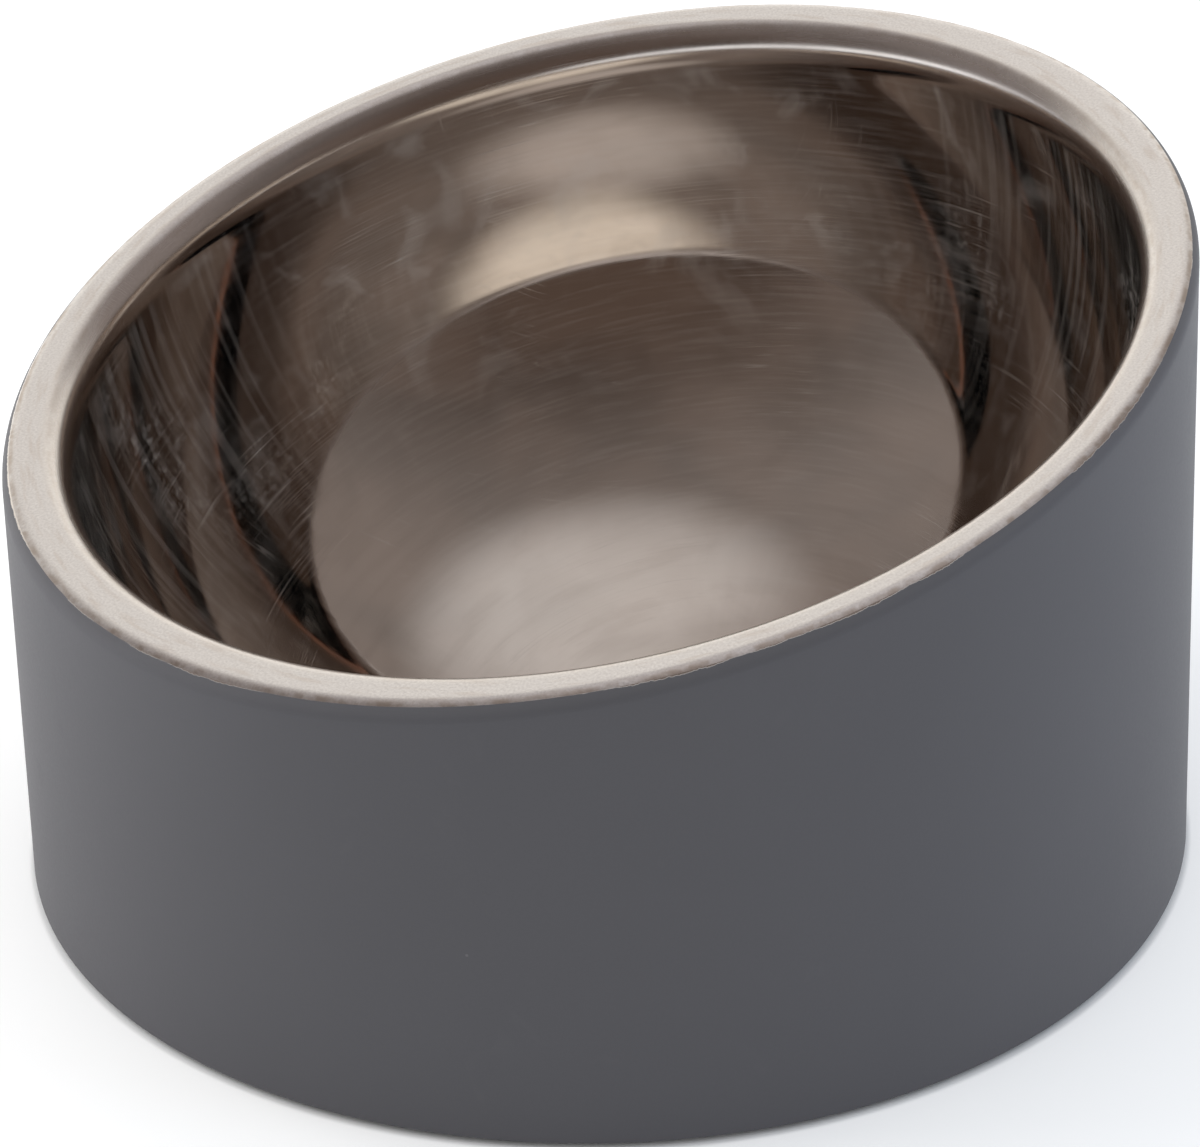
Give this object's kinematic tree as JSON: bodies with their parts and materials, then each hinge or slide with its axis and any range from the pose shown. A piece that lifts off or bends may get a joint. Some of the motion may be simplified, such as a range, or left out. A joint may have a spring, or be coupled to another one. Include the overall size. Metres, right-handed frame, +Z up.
{
  "type": "slanted pet bowl",
  "caption": "Slanted double-wall pet bowl: a polished round bowl welded by its leaning rim into an upright powder-coated shell, with a base pan and a rubber anti-slip ring.",
  "frame": {"origin": "on the floor, under the middle of the upright shell", "axes": "+Z up; the rim is lowest towards -Y, where the animal eats, and highest towards +Y; X runs across"},
  "size_m": [0.18, 0.18, 0.106],
  "materials": {
    "polished_steel": "mirror polished inside, satin brushed on the rim",
    "grey_powder_coat": "matte fine-textured powder coat",
    "bare_steel": "plain rolled sheet",
    "black_rubber": "matte moulded rubber"
  },
  "bodies": {
    "root": {"inner_bowl": "polished_steel", "outer_shell": "grey_powder_coat", "base_pan": "bare_steel", "anti_slip_ring": "black_rubber"}
  },
  "joints": []
}
